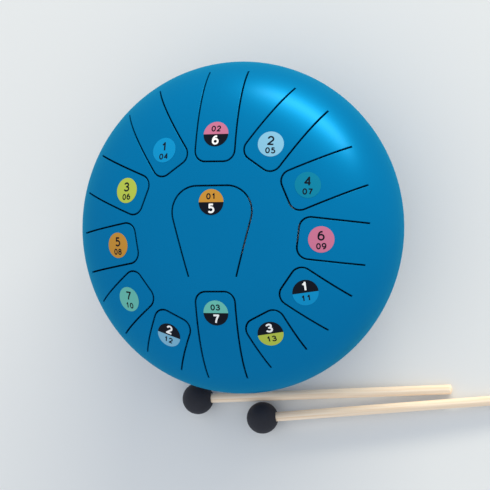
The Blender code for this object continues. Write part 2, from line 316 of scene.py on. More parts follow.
def finish_tree(tree, shape, material):
    """Ends a tree in real geometry with its material set."""
    real = add_node(tree, "GeometryNodeRealizeInstances", {0: shape})
    dressed = add_node(tree, "GeometryNodeSetMaterial", {"Geometry": real, "Material": material})
    add_node(tree, "NodeGroupOutput", {0: dressed})
    return tree


def turned_form_tree():
    """Turns a profile of points in the XZ plane about the Z axis: a grid with a row for each point is rolled up."""
    tree, given = new_tree("Turned form", {"Sides": "NodeSocketInt", "Material": "NodeSocketMaterial"})
    size = add_node(tree, "GeometryNodeAttributeDomainSize", {0: given["Geometry"]}, component="MESH")
    known = {
        "sides": given["Sides"],
        "rows": size.outputs["Point Count"],
        "index": add_node(tree, "GeometryNodeInputIndex"),
    }
    for name, operation, first, second in (
        ("columns", "ADD", "sides", 1.0),
        ("row", "FLOORED_MODULO", "index", "rows"),
        ("middle", "ADD", "index", 0.5),
        ("share", "DIVIDE", "middle", "rows"),
        ("column", "FLOOR", "share", 0.0),
        ("angle", "MULTIPLY", "column", math.tau),
        ("turn", "DIVIDE", "angle", "sides"),
    ):
        values = {0: known.get(first, first), 1: known.get(second, second)}
        known[name] = add_node(tree, "ShaderNodeMath", values, operation=operation)
    sheet = add_node(tree, "GeometryNodeMeshGrid", {"Vertices X": known["columns"], "Vertices Y": known["rows"]})
    profile = add_node(
        tree,
        "GeometryNodeSampleIndex",
        {"Geometry": given["Geometry"], "Value": add_node(tree, "GeometryNodeInputPosition"), "Index": known["row"]},
        data_type="FLOAT_VECTOR",
        domain="POINT",
    )
    place = add_node(
        tree, "ShaderNodeVectorRotate", {"Vector": profile, "Angle": known["turn"]}, rotation_type="Z_AXIS"
    )
    form = add_node(tree, "GeometryNodeSetPosition", {"Geometry": sheet, "Position": place})
    closed = add_node(tree, "GeometryNodeMergeByDistance", {"Geometry": form, "Distance": 1e-6})
    smooth = add_node(tree, "GeometryNodeSetShadeSmooth", {"Geometry": closed})
    return finish_tree(tree, smooth, given["Material"])


def crown_point(tree, given, place):
    """The face's point and outward normal over a place in plan, seen from the drum's axis."""
    flat = add_node(tree, "ShaderNodeVectorMath", {0: place, 1: (1.0, 1.0, 0.0)}, operation="MULTIPLY")
    known = {name: given[name] for name in CROWN_INPUTS}
    known["length"] = add_node(tree, "ShaderNodeVectorMath", {0: flat}, operation="LENGTH")
    for name, operation, first, second in (
        ("distance", "MAXIMUM", "length", 1e-6),
        ("share", "DIVIDE", "distance", "Crown radius"),
        ("spent", "POWER", "share", "Crown power"),
        ("left", "SUBTRACT", 1.0, "spent"),
        ("root", "DIVIDE", 1.0, "Shoulder power"),
        ("rise", "POWER", "left", "root"),
        ("height", "MULTIPLY", "Crown height", "rise"),
        ("fall", "MULTIPLY", "height", "Crown power"),
        ("fall", "MULTIPLY", "fall", "spent"),
        ("fall", "DIVIDE", "fall", "Shoulder power"),
        ("fall", "DIVIDE", "fall", "left"),
        ("fall", "DIVIDE", "fall", "distance"),
        ("fall over distance", "DIVIDE", "fall", "distance"),
    ):
        values = {0: known.get(first, first), 1: known.get(second, second)}
        known[name] = add_node(tree, "ShaderNodeMath", values, operation=operation)
    outward = add_node(
        tree, "ShaderNodeVectorMath", {0: flat, "Scale": known["fall over distance"]}, operation="SCALE"
    )
    leaning = add_node(tree, "ShaderNodeVectorMath", {0: outward, 1: (0.0, 0.0, 1.0)}, operation="ADD")
    normal = add_node(tree, "ShaderNodeVectorMath", {0: leaning}, operation="NORMALIZE")
    height = add_node(tree, "ShaderNodeCombineXYZ", {"Z": known["height"]})
    return add_node(tree, "ShaderNodeVectorMath", {0: flat, 1: height}, operation="ADD"), normal


def lay_on_crown_tree():
    """Lays a flat piece, modelled at the origin with its back at z = 0, on the face round a given place."""
    tree, given = new_tree("Lay on crown", {
        "Place": "NodeSocketVector",
        "Spin": "NodeSocketFloat",
        "Lift": "NodeSocketFloat",
        **{name: "NodeSocketFloat" for name in CROWN_INPUTS},
        "Axis place": "NodeSocketVector",
        "Material": "NodeSocketMaterial",
    })
    local = add_node(tree, "GeometryNodeInputPosition")
    kept = add_node(
        tree,
        "GeometryNodeStoreNamedAttribute",
        {"Geometry": given["Geometry"], "Name": "own_place", "Value": local},
        data_type="FLOAT_VECTOR",
        domain="POINT",
    )
    spun = add_node(tree, "ShaderNodeVectorRotate", {"Vector": local, "Angle": given["Spin"]}, rotation_type="Z_AXIS")
    parts = add_node(tree, "ShaderNodeSeparateXYZ", {0: spun}).outputs
    flat, up = crown_point(tree, given, given["Place"])
    lean = add_node(tree, "ShaderNodeVectorMath", {0: up, 1: (1.0, 0.0, 0.0)}, operation="DOT_PRODUCT")
    leant = add_node(tree, "ShaderNodeVectorMath", {0: up, "Scale": lean}, operation="SCALE")
    level = add_node(tree, "ShaderNodeVectorMath", {0: (1.0, 0.0, 0.0), 1: leant}, operation="SUBTRACT")
    across = add_node(tree, "ShaderNodeVectorMath", {0: level}, operation="NORMALIZE")
    along = add_node(tree, "ShaderNodeVectorMath", {0: up, 1: across}, operation="CROSS_PRODUCT")
    for way, part in ((across, "X"), (along, "Y")):
        run = add_node(tree, "ShaderNodeVectorMath", {0: way, "Scale": parts[part]}, operation="SCALE")
        flat = add_node(tree, "ShaderNodeVectorMath", {0: flat, 1: run}, operation="ADD")
    point, normal = crown_point(tree, given, flat)
    height = add_node(tree, "ShaderNodeMath", {0: parts["Z"], 1: given["Lift"]}, operation="ADD")
    raised = add_node(tree, "ShaderNodeVectorMath", {0: normal, "Scale": height}, operation="SCALE")
    for offset in (raised, given["Axis place"]):
        point = add_node(tree, "ShaderNodeVectorMath", {0: point, 1: offset}, operation="ADD")
    placed = add_node(tree, "GeometryNodeSetPosition", {"Geometry": kept, "Position": point})
    return finish_tree(tree, placed, given["Material"])


def apply_tree(piece, tree, values):
    """Runs a tree on a piece with the named inputs set, and returns the piece with the result as its mesh."""
    modifier = piece.modifiers.new(tree.name, "NODES")
    modifier.node_group = tree
    for socket in tree.interface.items_tree:
        if socket.in_out == "INPUT" and socket.name in values:
            modifier[socket.identifier] = values[socket.name]
    return plain(piece)


def plain(piece):
    """Replaces a piece by one that holds its evaluated mesh and no modifiers, under the same name."""
    graph = bpy.context.evaluated_depsgraph_get()
    mesh = bpy.data.meshes.new_from_object(piece.evaluated_get(graph), preserve_all_data_layers=True, depsgraph=graph)
    name = piece.name
    bpy.data.objects.remove(piece, do_unlink=True)
    mesh.name = name
    return new_piece(name, mesh)


def new_piece(name, mesh):
    """An object at the origin that shows a mesh."""
    piece = bpy.data.objects.new(name, mesh)
    bpy.context.scene.collection.objects.link(piece)
    return piece


def turned(name, profile, sides, material):
    """A turned piece from (radius, z) points, with its normals outward."""
    mesh = bpy.data.meshes.new(name)
    points = [(radius, 0.0, z) for radius, z in profile]
    mesh.from_pydata(points, [(i, i + 1) for i in range(len(points) - 1)], [])
    tree = bpy.data.node_groups.get("Turned form") or turned_form_tree()
    piece = apply_tree(new_piece(name, mesh), tree, {"Sides": sides, "Material": material})
    face_outward(piece.data)
    return piece


def face_outward(mesh):
    """Turns a closed mesh's faces outward."""
    rig = bmesh.new()
    rig.from_mesh(mesh)
    bmesh.ops.recalc_face_normals(rig, faces=rig.faces)
    if rig.calc_volume(signed=True) < 0:
        bmesh.ops.reverse_faces(rig, faces=rig.faces)
    rig.to_mesh(mesh)
    rig.free()


def keep_own_place(mesh):
    """Stores each point's place before the piece is moved, for patterns that follow the piece."""
    places = mesh.attributes.new("own_place", "FLOAT_VECTOR", "POINT")
    points = np.empty(len(mesh.vertices) * 3, np.float32)
    mesh.vertices.foreach_get("co", points)
    places.data.foreach_set("vector", points)


def declare(piece, body, nodes):
    """Tells the frame which body a piece moves with and the nodes that it takes over from."""
    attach(piece, body)
    if nodes:
        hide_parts(*nodes)


# Materials


def new_material(name):
    """An empty material and its node tree."""
    material = bpy.data.materials.new(name)
    material.use_nodes = True
    material.node_tree.nodes.clear()
    return material, material.node_tree


def finish_material(material, inputs):
    """Ends a material in one Principled shader with the given inputs."""
    shader = add_node(material.node_tree, "ShaderNodeBsdfPrincipled", inputs)
    add_node(material.node_tree, "ShaderNodeOutputMaterial", {"Surface": shader})
    return material


def enamel():
    """Sprayed satin enamel on pressed steel: an even blue that drifts a little from place to place, with a faint
    orange peel. Its metal flakes give a broad soft shine in the paint's own colour, and the thin clear film on top
    gives a faint pale one."""
    shell = settings("drum_shells")
    material, tree = new_material("satin_enamel_blue")
    drift_size, peel_depth = 0.06, 0.000008
    place = add_node(tree, "ShaderNodeTexCoord").outputs["Object"]
    drift = add_node(tree, "ShaderNodeTexNoise", {"Vector": place, "Scale": 1 / drift_size, "Detail": 2.0})
    tone = add_node(tree, "ShaderNodeMapRange", {"Value": drift, "To Min": 0.97, "To Max": 1.03})
    gloss = add_node(tree, "ShaderNodeMapRange", {
        "Value": drift, "To Min": shell.roughness - 0.02, "To Max": shell.roughness + 0.02,
    })
    peel = add_node(tree, "ShaderNodeTexNoise", {"Vector": place, "Scale": 1 / shell.peel_size, "Detail": 1.0})
    return finish_material(material, {
        "Base Color": add_node(tree, "ShaderNodeHueSaturation", {"Color": (*shell.paint, 1.0), "Value": tone}),
        "Roughness": gloss,
        "Metallic": shell.flake,
        "Specular IOR Level": 0.0,
        "Specular Tint": (*shell.sheen, 1.0),
        "Coat Weight": shell.lacquer,
        "Coat Roughness": 0.28,
        "Normal": add_node(tree, "ShaderNodeBump", {"Height": peel, "Distance": peel_depth, "Strength": 1.0}),
    })


def printed_vinyl(name, top, bottom):
    """Cast vinyl, screen printed in one flat colour, or in two with a sharp level edge: a dull, even sheen. Its fine
    texture is really too small to see from here and is drawn at 0.8 mm."""
    material, tree = new_material(name)
    texture_size, texture_depth = 0.0008, 0.000004
    place = add_node(tree, "ShaderNodeAttribute", attribute_name="own_place").outputs["Vector"]
    height = add_node(tree, "ShaderNodeSeparateXYZ", {0: place}).outputs["Y"]
    upper = add_node(tree, "ShaderNodeMath", {0: height, 1: 0.0}, operation="GREATER_THAN")
    speck = add_node(tree, "ShaderNodeTexNoise", {"Vector": place, "Scale": 1 / texture_size, "Detail": 2.0})
    return finish_material(material, {
        "Base Color": add_node(
            tree, "ShaderNodeMix", {0: upper, 6: (*bottom, 1.0), 7: (*top, 1.0)}, data_type="RGBA"
        ),
        "Roughness": add_node(tree, "ShaderNodeMapRange", {"Value": speck, "To Min": 0.36, "To Max": 0.46}),
        "Specular IOR Level": 0.1,
        "Normal": add_node(tree, "ShaderNodeBump", {"Height": speck, "Distance": texture_depth, "Strength": 1.0}),
    })


def ink(name, colour):
    """Screen-printed ink: a thin film whose tone varies a little, drawn at 0.4 mm because the real mesh of the screen
    is finer than the picture shows."""
    material, tree = new_material(name)
    mesh_size = 0.0004
    place = add_node(tree, "ShaderNodeTexCoord").outputs["Object"]
    grain = add_node(tree, "ShaderNodeTexNoise", {"Vector": place, "Scale": 1 / mesh_size, "Detail": 2.0})
    tone = add_node(tree, "ShaderNodeMapRange", {"Value": grain, "To Min": 0.9, "To Max": 1.1})
    return finish_material(material, {
        "Base Color": add_node(tree, "ShaderNodeHueSaturation", {"Color": (*colour, 1.0), "Value": tone}),
        "Roughness": 0.42,
        "Specular IOR Level": 0.1,
    })


def moulded_rubber(name, colour, roughness):
    """Moulded rubber: matte and dark, with a little dust in its tone and the mould's fine grit, which is drawn at
    0.9 mm to show at all."""
    material, tree = new_material(name)
    grit_size, grit_depth, patch_size = 0.0009, 0.00006, 0.012
    place = add_node(tree, "ShaderNodeTexCoord").outputs["Object"]
    grit = add_node(tree, "ShaderNodeTexNoise", {"Vector": place, "Scale": 1 / grit_size, "Detail": 3.0})
    patch = add_node(tree, "ShaderNodeTexNoise", {"Vector": place, "Scale": 1 / patch_size, "Detail": 3.0})
    tone = add_node(tree, "ShaderNodeMapRange", {"Value": patch, "To Min": 0.8, "To Max": 1.25})
    return finish_material(material, {
        "Base Color": add_node(tree, "ShaderNodeHueSaturation", {"Color": (*colour, 1.0), "Value": tone}),
        "Roughness": roughness,
        "Specular IOR Level": 0.12,
        "Normal": add_node(tree, "ShaderNodeBump", {"Height": grit, "Distance": grit_depth, "Strength": 1.0}),
    })


def beech():
    """Sanded beech dowel: pale and dull, with long soft grain lines and the short dark flecks of its rays. The flecks
    are really a small part of a millimetre wide and are drawn at 0.7 mm to show."""
    mallet = settings("drum_mallets")
    material, tree = new_material("sanded_beech")
    grain_size, grain_depth, ray_size = 0.0016, 0.00003, 0.0007
    place = add_node(tree, "ShaderNodeAttribute", attribute_name="own_place").outputs["Vector"]
    long = add_node(tree, "ShaderNodeMapping", {"Vector": place, "Scale": (1.0, 1.0, 0.02)})
    lines = add_node(tree, "ShaderNodeTexNoise", {
        "Vector": long, "Scale": 1 / grain_size, "Detail": 4.0, "Distortion": 0.4,
    })
    short = add_node(tree, "ShaderNodeMapping", {"Vector": place, "Scale": (1.0, 1.0, 0.16)})
    rays = add_node(tree, "ShaderNodeTexVoronoi", {"Vector": short, "Scale": 1 / ray_size, "Randomness": 1.0})
    fleck = add_node(tree, "ShaderNodeMapRange", {
        "Value": rays, "From Min": 0.05, "From Max": 0.2, "To Min": 0.5, "To Max": 0.0,
    })
    streak = add_node(tree, "ShaderNodeMapRange", {
        "Value": lines, "From Min": 0.35, "From Max": 0.7, "To Min": 0.0, "To Max": 0.75,
    })
    dark = add_node(tree, "ShaderNodeMath", {0: streak, 1: fleck}, operation="MAXIMUM")
    return finish_material(material, {
        "Base Color": add_node(
            tree, "ShaderNodeMix", {0: dark, 6: (*mallet.wood, 1.0), 7: (*mallet.grain, 1.0)}, data_type="RGBA"
        ),
        "Roughness": 0.5,
        "Normal": add_node(tree, "ShaderNodeBump", {"Height": lines, "Distance": grain_depth, "Strength": 1.0}),
    })


def studio_paper():
    """Plain matt studio paper: pale, with no shine to speak of."""
    material, _ = new_material("floor_paper")
    colour = (*settings("drum_stage").floor, 1.0)
    return finish_material(material, {"Base Color": colour, "Roughness": 0.9, "Specular IOR Level": 0.2})


def once(name, make):
    """The material of that name, made at its first use."""
    return bpy.data.materials.get(name) or make()


# Shapes of the shells


def as_array(points):
    """Vectors as the rows of an array."""
    return np.array([tuple(point) for point in points])


def circle(count, first=0.0):
    """Even places on a circle of radius one, the first of them turned by a share of a step."""
    turn = (np.arange(count) + first) * math.tau / count
    return np.column_stack([np.cos(turn), np.sin(turn)])


def shell_curve(height, last, rings):
    """A shell's outer curve from its widest place up to a polar angle: radii, and heights over that place."""
    angles = np.linspace(0.0, last, rings + 1)
    radii = DRUM_RADIUS * np.clip(np.cos(angles), 0.0, 1.0) ** (2 / CROWN_POWER)
    heights = height * np.clip(np.sin(angles), 0.0, 1.0) ** (2 / SHOULDER_POWER)
    return radii, heights


def face_points(plan):
    """The face's points and outward normals over places in plan."""
    distance = np.hypot(plan[:, 0], plan[:, 1])
    share = np.clip(distance / DRUM_RADIUS, 0.0, 1.0)
    inside = np.clip(1 - share**CROWN_POWER, 0.0, 1.0)
    z = FACE_HEIGHT * inside ** (1 / SHOULDER_POWER)
    fall = FACE_HEIGHT * CROWN_POWER / SHOULDER_POWER * share ** (CROWN_POWER - 1) / DRUM_RADIUS
    lean = np.maximum(inside, 1e-12) ** (1 - 1 / SHOULDER_POWER)
    outward = plan / np.maximum(distance, 1e-9)[:, None]
    normal = np.column_stack([outward * fall[:, None], lean])
    normal /= np.linalg.norm(normal, axis=1)[:, None]
    return np.column_stack([plan, z]), normal


def offset_profile(radii, heights, depth):
    """The curve inside a shell's outer curve, at an even depth."""
    run = np.column_stack([np.gradient(radii), np.gradient(heights)])
    run /= np.linalg.norm(run, axis=1)[:, None]
    return radii - run[:, 1] * depth, heights + run[:, 0] * depth


def rounded_path(corners, radius, steps):
    """An open line through the corners, with each inner corner rounded by an arc."""
    path = [corners[0]]
    for before, corner, after in zip(corners, corners[1:], corners[2:]):
        into = (before - corner).normalized()
        out = (after - corner).normalized()
        half = into.angle(out) / 2
        centre = corner + (into + out).normalized() * radius / math.sin(half)
        start = corner + into * radius / math.tan(half) - centre
        sweep = start.angle_signed(corner + out * radius / math.tan(half) - centre)
        for step in range(steps + 1):
            turn = -sweep * step / steps
            path.append(centre + Matrix.Rotation(turn, 2) @ start)
    path.append(corners[-1])
    return path


def resampled(path, spacing):
    """The same line with its long straights cut into even steps."""
    points = [path[0]]
    for start, end in zip(path, path[1:]):
        steps = max(1, round((end - start).length / spacing))
        if (end - start).length > 1e-7:
            points += [start.lerp(end, step / steps) for step in range(1, steps + 1)]
    return points


def tongue_axes(angle_degrees):
    """Unit vectors out from the drum's axis along a tongue, and across it."""
    angle = math.radians(angle_degrees)
    along = Vector((math.sin(angle), math.cos(angle)))
    return along, Vector((along.y, -along.x))


def slot_paths():
    """The middle line of each slot in plan, seen from the drum's axis."""
    centre = [
        Vector((CENTRE_OFFSET + CENTRE_ROOT_WIDTH / 2, CENTRE_ROOT_Y)),
        Vector((CENTRE_OFFSET + CENTRE_FREE_WIDTH / 2, CENTRE_FREE_Y)),
        Vector((CENTRE_OFFSET - CENTRE_FREE_WIDTH / 2, CENTRE_FREE_Y)),
        Vector((CENTRE_OFFSET - CENTRE_ROOT_WIDTH / 2, CENTRE_ROOT_Y)),
    ]
    paths = [resampled(rounded_path(centre, CENTRE_CORNER, CENTRE_CORNER_STEPS), SLOT_SPACING)]
    for angle, land, free_end, _, _ in OUTER_TONGUES.values():
        along, across = tongue_axes(angle)
        root = along * DRUM_RADIUS * (1 - land)
        free = along * DRUM_RADIUS * free_end
        half = across * TONGUE_WIDTH / 2
        corners = [root + half, free + half, free - half, root - half]
        paths.append(resampled(rounded_path(corners, TONGUE_CORNER, TONGUE_CORNER_STEPS), SLOT_SPACING))
    return paths


def slot_outline(path, half_width, edge):
    """The closed outline of a slot where its rounded edge starts, and each point's way into the slot."""
    points = as_array(path)
    run = np.gradient(points, axis=0)
    run /= np.linalg.norm(run, axis=1)[:, None]
    side = np.column_stack([-run[:, 1], run[:, 0]])
    left, right = points + side * (half_width + edge), points - side * (half_width + edge)
    first, last = points[0] - run[0] * edge, points[-1] + run[-1] * edge
    outline = np.vstack([
        left, last + side[-1] * half_width, last - side[-1] * half_width,
        right[::-1], first - side[0] * half_width, first + side[0] * half_width,
    ])
    inward = np.vstack([-side, -run[-1], -run[-1], side[::-1], run[0], run[0]])
    return outline, inward


def flattened(plan, arc_radii, arc_lengths):
    """Plan places moved out so that distance from the middle is length along the face."""
    distance = np.hypot(plan[:, 0], plan[:, 1])
    return plan * (np.interp(distance, arc_radii, arc_lengths) / np.maximum(distance, 1e-9))[:, None]


def face_plan(edge):
    """The face's skin in plan, triangulated round the slots: its points, triangles, and for each slot the loop of
    its outline's point numbers and their ways into the slot."""
    radii, heights = (row[::-1] for row in shell_curve(FACE_HEIGHT, math.pi / 2, ARC_STEPS))
    arc = np.concatenate([[0.0], np.cumsum(np.hypot(np.diff(radii), np.diff(heights)))])
    half_width = SLOT_WIDTH / 2
    paths = slot_paths()
    outlines = [slot_outline(path, half_width, edge) for path in paths]
    walls = np.vstack([outline for outline, _ in outlines])
    middles = np.vstack([as_array(path) for path in paths])

    grid = [np.zeros((1, 2))]
    ring_count = round(arc[-1] / FACE_SPACING)
    for ring in range(1, ring_count):
        away = arc[-1] * ring / ring_count
        count = min(RIM_SIDES, max(8, round(math.tau * away / FACE_SPACING)))
        grid.append(circle(count, 0.5 * (ring % 2)) * np.interp(away, arc, radii))
    grid = np.vstack(grid)
    for others, clearance in ((walls, OFF_SLOT_WALL), (middles, OFF_SLOT_MIDDLE)):
        nearest = np.min(np.hypot(*(grid[:, None] - others[None]).transpose(2, 0, 1)), axis=1)
        grid = grid[nearest > clearance]

    plan = np.vstack([circle(RIM_SIDES) * DRUM_RADIUS, walls, grid])
    edges = [(side, (side + 1) % RIM_SIDES) for side in range(RIM_SIDES)]
    loops = []
    owner = np.full(len(plan), -1)
    start = RIM_SIDES
    for number, (outline, inward) in enumerate(outlines):
        loop = list(range(start, start + len(outline)))
        loops.append((loop, inward))
        edges += list(zip(loop, loop[1:] + loop[:1]))
        owner[loop] = number
        start += len(outline)
    flat = [Vector(place) for place in flattened(plan, radii, arc)]
    found = geometry.delaunay_2d_cdt(flat, edges, [], 0, 1e-7)
    if len(found[0]) != len(plan):
        raise RuntimeError("the face's slots cross each other")
    triangles = np.array(found[2])
    owners = owner[triangles]
    in_slot = np.zeros(len(triangles), bool)
    for number, path in enumerate(paths):
        own = np.flatnonzero((owners == number).all(axis=1))
        in_slot[own] = distances_to_line(plan[triangles[own]].mean(axis=1), path) < half_width + edge / 2
    return plan, triangles[~in_slot], loops


def distances_to_line(points, path):
    """Distances in plan from points to a line through the path's corners."""
    line = as_array(path)
    start, run = line[:-1], np.diff(line, axis=0)
    away = points[:, None] - start
    along = np.clip((away * run).sum(axis=2) / (run**2).sum(axis=1), 0.0, 1.0)
    return np.linalg.norm(away - run * along[:, :, None], axis=2).min(axis=1)


def lip_section(edge):
    """Down a slot's wall, from the outer skin to the inner one: way into the slot, depth, and the normal's tilt."""
    for step in range(1, LIP_STEPS + 1):
        turn = math.pi / 2 * step / LIP_STEPS
        yield edge * math.sin(turn), edge * (1 - math.cos(turn)), turn
    for step in range(LIP_STEPS):
        turn = math.pi / 2 * step / LIP_STEPS
        yield edge * math.cos(turn), WALL - edge * (1 - math.sin(turn)), math.pi / 2 + turn


def seam_section():
    """Round a shell's edge at the seam, from the outside in: inset, height over the edge, and the normal's tilt."""
    for step in range(SEAM_STEPS + 1):
        turn = math.pi / 2 * step / SEAM_STEPS
        yield SEAM_ROUNDING * (1 - math.cos(turn)), SEAM_ROUNDING * (1 - math.sin(turn)), turn


def band_faces(rows):
    """Quads between closed rows of point numbers, each row one step further down a wall."""
    for above, below in zip(rows, rows[1:]):
        for here, beside in zip(range(len(above)), [*range(1, len(above)), 0]):
            yield above[beside], above[here], below[here], below[beside]


def build_face_shell(material):
    """The crowned face with its thirteen slots: an outer and an inner skin, joined round each slot and the rim."""
    edge = settings("drum_shells").slot_edge
    plan, triangles, loops = face_plan(edge)
    outer, normals = face_points(plan)
    points, directions = [outer, outer - normals * WALL], [normals, -normals]
    count = len(plan)
    faces = [tuple(corners) for corners in triangles] + [tuple(corners[::-1] + count) for corners in triangles]
    total = 2 * count
    for loop, inward in loops:
        base, up = outer[loop], normals[loop]
        way = np.column_stack([inward, np.zeros(len(inward))])
        way -= (way * up).sum(axis=1)[:, None] * up
        way /= np.linalg.norm(way, axis=1)[:, None]
        rows = [np.array(loop)]
        for reach, depth, tilt in lip_section(edge):
            points.append(base + way * reach - up * depth)
            directions.append(up * math.cos(tilt) + way * math.sin(tilt))
            rows.append(np.arange(total, total + len(loop)))
            total += len(loop)
        faces += band_faces([*rows, rows[0] + count])
    rim = np.arange(RIM_SIDES)
    out = normals[rim]
    down = np.array([0.0, 0.0, -1.0])
    rows = [rim]
    for inset, rise, tilt in (*seam_section(), (WALL, 0.0, math.pi * 0.75)):
        points.append(np.column_stack([outer[rim, :2] - out[:, :2] * inset, np.full(RIM_SIDES, rise - SEAM_BAND)]))
        directions.append(out * math.cos(tilt) + down * math.sin(tilt))
        rows.append(np.arange(total, total + RIM_SIDES))
        total += RIM_SIDES
    faces += band_faces([*rows, rim + count])
    mesh = bpy.data.meshes.new("face_shell")
    mesh.from_pydata(np.vstack(points) + np.array(AXIS_PLACE), [], faces)
    mesh.validate()
    mesh.shade_smooth()
    directions = np.vstack(directions)
    directions /= np.linalg.norm(directions, axis=1)[:, None]
    mesh.normals_split_custom_set_from_vertices([tuple(direction) for direction in directions])
    mesh.materials.append(material)
    return new_piece("face_shell", mesh)


def build_bowl(material):
    """The bowl with its joggled lip, turned from one closed profile."""
    hole_angle = math.acos((SOUND_HOLE_RADIUS / DRUM_RADIUS) ** (CROWN_POWER / 2))
    radii, depths = shell_curve(BOWL_HEIGHT, hole_angle, BOWL_RINGS)
    seam = SEAM_BAND + SEAM_GAP
    below_seam = depths > seam + SEAM_ROUNDING * 1.5
    edge = list(seam_section())[::-1]
    radii = np.concatenate([[DRUM_RADIUS - inset for inset, _, _ in edge], radii[below_seam]])
    depths = np.concatenate([[seam + rise for _, rise, _ in edge], depths[below_seam]])
    inner_radii, inner_depths = offset_profile(radii, depths, WALL)
    lip_share = 1 - (LIP_HEIGHT / FACE_HEIGHT) ** SHOULDER_POWER
    lip_outer = DRUM_RADIUS * lip_share ** (1 / CROWN_POWER) - WALL - LIP_CLEARANCE
    lip_inner = lip_outer - WALL
    profile = [(lip_inner, LIP_HEIGHT), (lip_outer, LIP_HEIGHT), (lip_outer, -seam)]
    profile += [(radius, -depth) for radius, depth in zip(radii, depths)]
    profile += [(radii[-1] - HOLE_ROLL, level - depths[-1]) for level in HOLE_ROLL_LEVELS]
    inner = zip(inner_radii[::-1], inner_depths[::-1])
    profile += [(radius, -depth) for radius, depth in inner if depth > seam + WALL]
    profile += [(lip_inner, -seam - WALL), (lip_inner, LIP_HEIGHT)]
    piece = turned("bowl", profile, BOWL_SIDES, material)
    piece.data.transform(Matrix.Translation(AXIS_PLACE))
    piece.data.set_sharp_from_angle(angle=BOWL_SHARP_ANGLE)
    return piece


def label_places():
    """Each label's note, place in plan and spin."""
    yield CENTRE_TONGUE, Vector((CENTRE_OFFSET, CENTRE_FREE_Y - CENTRE_LABEL_INSET, 0.0)), 0.0
    for note, (angle, _, free_end, inset, spin) in OUTER_TONGUES.items():
        along, _ = tongue_axes(angle)
        yield note, (along * DRUM_RADIUS * (free_end + inset)).to_3d(), math.radians(spin)


def lay_on_crown(piece, place, spin, lift, material):
    """Lays a flat piece on the face at a place in plan, turned and lifted off the paint."""
    tree = bpy.data.node_groups.get("Lay on crown") or lay_on_crown_tree()
    return apply_tree(piece, tree, {
        **CROWN_INPUTS,
        "Place": tuple(place),
        "Spin": spin,
        "Lift": lift,
        "Axis place": tuple(AXIS_PLACE),
        "Material": material,
    })


def label_style(note):
    """Low notes have a dark lower half, high notes a dark upper half, and those between have none."""
    return "low" if note <= 3 else "high" if note >= 11 else "middle"


def degree_of(note):
    """A note's degree in the scale."""
    return DEGREES[(note - 1) % len(DEGREES)]


def label_material(note):
    """The vinyl of a label, shared by the labels of one degree and style."""
    labels = settings("drum_labels")
    degree, style = degree_of(note), label_style(note)
    colour, dark = getattr(labels, f"degree_{degree}"), labels.ink
    name = f"printed_vinyl_{degree}_{style}"
    top = dark if style == "high" else colour
    bottom = dark if style == "low" else colour
    return once(name, lambda: printed_vinyl(name, top, bottom))


def build_label(note, place, spin):
    """A round label with a bevelled edge, turned flat and laid on its tongue."""
    labels = settings("drum_labels")
    radius, top = labels.radius, labels.thickness
    bevel = top / 3
    profile = [(radius * step / LABEL_RINGS, top) for step in range(LABEL_RINGS)]
    profile += [(radius - bevel, top), (radius, top - bevel), (radius, 0.0)]
    profile += [(radius * (LABEL_RINGS - step) / LABEL_RINGS, 0.0) for step in range(1, LABEL_RINGS + 1)]
    material = label_material(note)
    disc = turned(f"label_{note}", profile, LABEL_SIDES, material)
    label = lay_on_crown(disc, place, spin, LABEL_LIFT, material)
    label.data.set_sharp_from_angle(angle=LABEL_SHARP_ANGLE)
    return label


def arc(centre_x, centre_y, half_width, half_height, first, last):
    """Points of an elliptic arc between two angles in degrees."""
    steps = max(4, round(abs(last - first) / PEN_ARC_DEGREES))
    angles = [math.radians(first + (last - first) * step / steps) for step in range(steps + 1)]
    return [(centre_x + half_width * math.cos(a), centre_y + half_height * math.sin(a)) for a in angles]


# Plain digits as pen strokes in a box one wide and one high
DIGITS = {
    "0": [arc(0.5, 0.5, 0.5, 0.5, 90, 450)],
    "1": [[(0.16, 0.74), (0.4, 0.84), (0.6, 1.0), (0.6, 0.0)]],
    "2": [[*arc(0.49, 0.70, 0.46, 0.30, 172, -30), (0.0, 0.0), (1.0, 0.0)]],
    "3": [[*arc(0.46, 0.765, 0.44, 0.235, 160, -90), *arc(0.46, 0.265, 0.52, 0.265, 90, -160)]],
    "4": [[(0.74, 0.0), (0.74, 1.0), (0.0, 0.30), (1.0, 0.30)]],
    "5": [[(0.90, 1.0), (0.20, 1.0), *arc(0.46, 0.325, 0.54, 0.325, 120, -142)]],
    "6": [[*arc(0.60, 0.42, 0.60, 0.58, 72, 180), *arc(0.5, 0.325, 0.5, 0.325, 180, 540)]],
    "7": [[(0.0, 1.0), (1.0, 1.0), (0.68, 0.62), (0.48, 0.30), (0.38, 0.0)]],
    "8": [arc(0.5, 0.77, 0.42, 0.23, -90, 270), arc(0.5, 0.27, 0.5, 0.27, 90, 450)],
    "9": [[*arc(0.40, 0.58, 0.60, 0.58, 252, 360), *arc(0.5, 0.675, 0.5, 0.325, 0, 360)]],
}
DIGIT_WIDTH = 0.74
DIGIT_SPACE = 0.12


def pen_lines(text, height, weight, centre_y):
    """The middle lines of the digits' strokes, in short runs."""
    lines = []
    box_x, box_y = height * DIGIT_WIDTH - weight, height - weight
    advance = height * (DIGIT_WIDTH + DIGIT_SPACE)
    for place, digit in enumerate(text):
        left = (place - (len(text) - 1) / 2) * advance - box_x / 2
        for stroke in DIGITS[digit]:
            corners = [Vector((left + x * box_x, centre_y + y * box_y - box_y / 2)) for x, y in stroke]
            lines.append(resampled(corners, PEN_RUN))
    return lines


